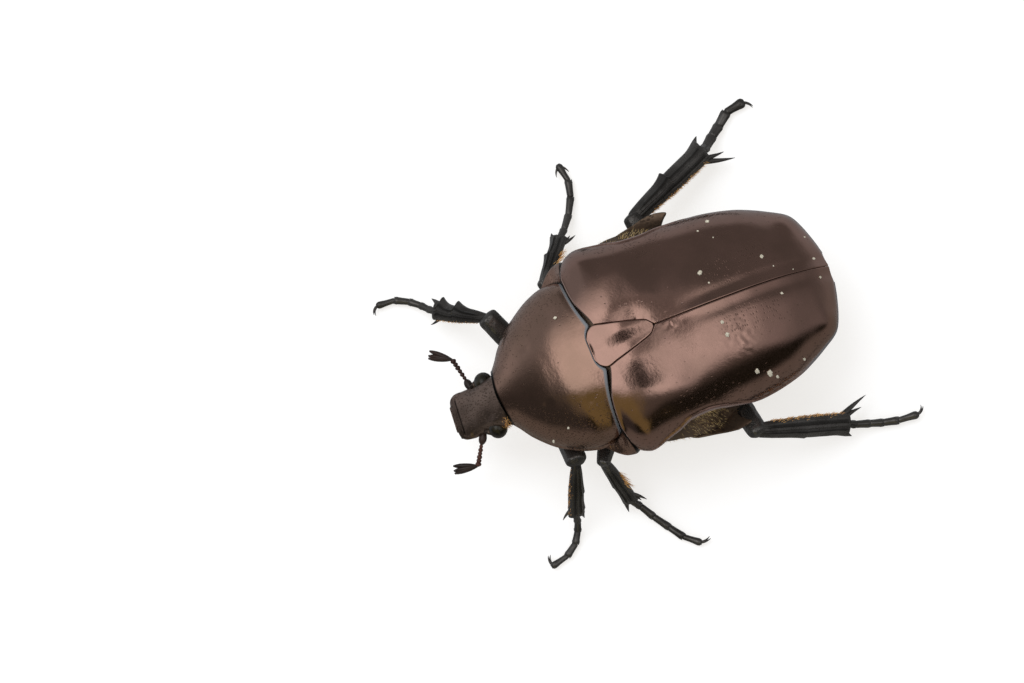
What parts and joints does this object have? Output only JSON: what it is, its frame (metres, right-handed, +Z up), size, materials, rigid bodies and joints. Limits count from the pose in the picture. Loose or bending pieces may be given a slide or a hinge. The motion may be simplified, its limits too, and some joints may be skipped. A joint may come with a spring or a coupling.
{
  "type": "flower chafer beetle model",
  "caption": "Life-size still model of a dark bronze-purple flower chafer beetle, standing on the floor on its legs.",
  "frame": {"origin": "on the floor, under the middle of the outline seen from above", "axes": "+Z up, the head points to -Y, the animal's left side is at +X"},
  "size_m": [0.0292, 0.0338, 0.0112],
  "materials": {
    "shell": "glossy dark bronze-purple cuticle with a metallic, pinkish copper sheen",
    "underside": "glossy near-black cuticle with a bronze tint",
    "leg": "glossy punctured near-black cuticle with an olive bronze tint",
    "antenna": "satin dark red-brown cuticle",
    "eye": "very glossy dark brown, finely faceted"
  },
  "bodies": {
    "root": {"prothorax": "shell", "scutellum": "shell", "elytron_left": "shell", "elytron_right": "shell", "mesepimeron_left": "shell", "mesepimeron_right": "shell", "head": "shell", "thorax": "underside", "abdomen": "underside", "pygidium": "underside", "coxa_front_left": "underside", "coxa_front_right": "underside", "coxa_mid_left": "underside", "coxa_mid_right": "underside", "coxa_hind_left": "underside", "coxa_hind_right": "underside", "femur_front_left": "leg", "femur_front_right": "leg", "femur_mid_left": "leg", "femur_mid_right": "leg", "femur_hind_left": "leg", "femur_hind_right": "leg", "tibia_front_left": "leg", "tibia_front_right": "leg", "tibia_mid_left": "leg", "tibia_mid_right": "leg", "tibia_hind_left": "leg", "tibia_hind_right": "leg", "tarsus_front_left": "leg", "tarsus_front_right": "leg", "tarsus_mid_left": "leg", "tarsus_mid_right": "leg", "tarsus_hind_left": "leg", "tarsus_hind_right": "leg", "antenna_left": "antenna", "antenna_right": "antenna", "eye_left": "eye", "eye_right": "eye"}
  },
  "joints": []
}
